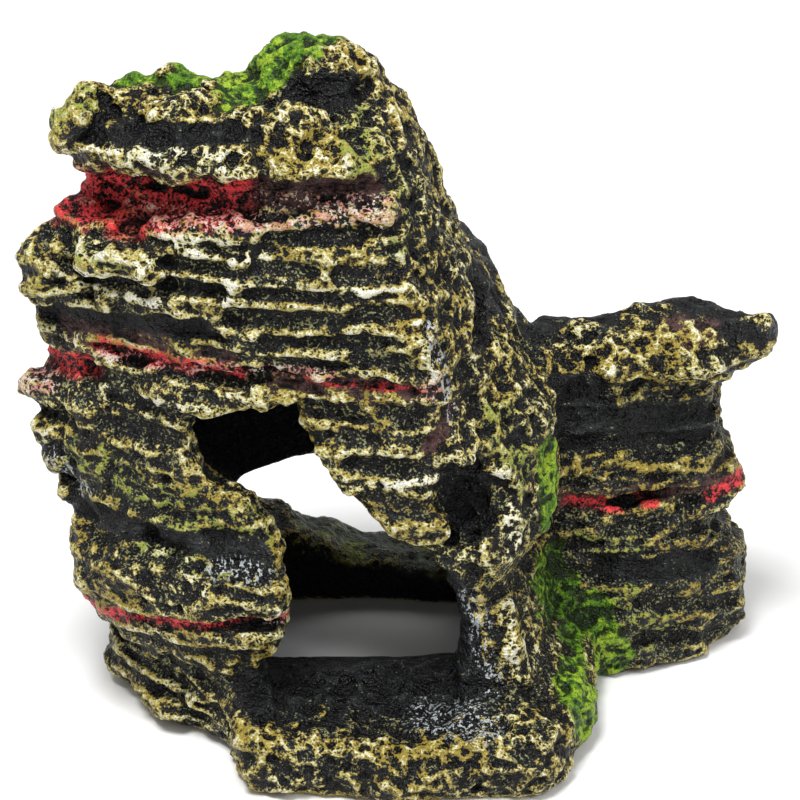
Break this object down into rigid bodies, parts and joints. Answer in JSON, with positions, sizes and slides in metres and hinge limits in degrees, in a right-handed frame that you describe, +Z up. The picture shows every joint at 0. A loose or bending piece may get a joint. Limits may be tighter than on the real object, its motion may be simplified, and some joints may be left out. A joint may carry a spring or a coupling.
{
  "type": "aquarium cave ornament",
  "caption": "Layered rock cave with an arched mouth, a low rear window, an open underside and a lower side wing with an overhanging ledge.",
  "frame": {"origin": "middle of the ornament's box, on the surface it stands on", "axes": "+Z up, +X along the row of rocks from the cave to the wing, -Y out of the cave's mouth"},
  "size_m": [0.132, 0.082, 0.118],
  "materials": {
    "sill_rock": "matt charcoal, smooth sloped top, pitted front edge dry-brushed ochre",
    "left_rock": "matt charcoal, bedded, dry-brushed ochre and cream, faint green wash, crimson seams",
    "strata_rock": "matt charcoal, bedded, dry-brushed ochre and cream, crimson and purple-brown grooves",
    "cap_rock": "matt charcoal, pitted, heavily dry-brushed ochre",
    "summit_rock": "matt charcoal with ochre and yellow-green moss paint",
    "flank_rock": "matt charcoal, rough and pitted, web of ochre and cream, yellow-green moss paint",
    "pillar_rock": "smooth dark inner face brushed blue-white, white and ochre outer ridge",
    "rear_rock": "matt charcoal, bedded, lightly dry-brushed ochre and grey-green",
    "wing_rock": "matt charcoal, bedded, dry-brushed ochre, crimson seam, green moss at the foot",
    "wing_cap_rock": "matt charcoal, pitted, heavily dry-brushed ochre"
  },
  "bodies": {
    "root": {"front_sill": "sill_rock", "left_foot_slab": "left_rock", "left_boulder": "left_rock", "left_column": "left_rock", "hanging_curtain": "strata_rock", "strata_slab": "strata_rock", "cap_slab": "cap_rock", "summit_rock": "summit_rock", "rough_flank": "flank_rock", "right_pillar": "pillar_rock", "rear_sill": "rear_rock", "rear_arch": "rear_rock", "rear_crest": "rear_rock", "wing_foot": "wing_rock", "wing_block": "wing_rock", "wing_cap": "wing_cap_rock"}
  },
  "joints": []
}
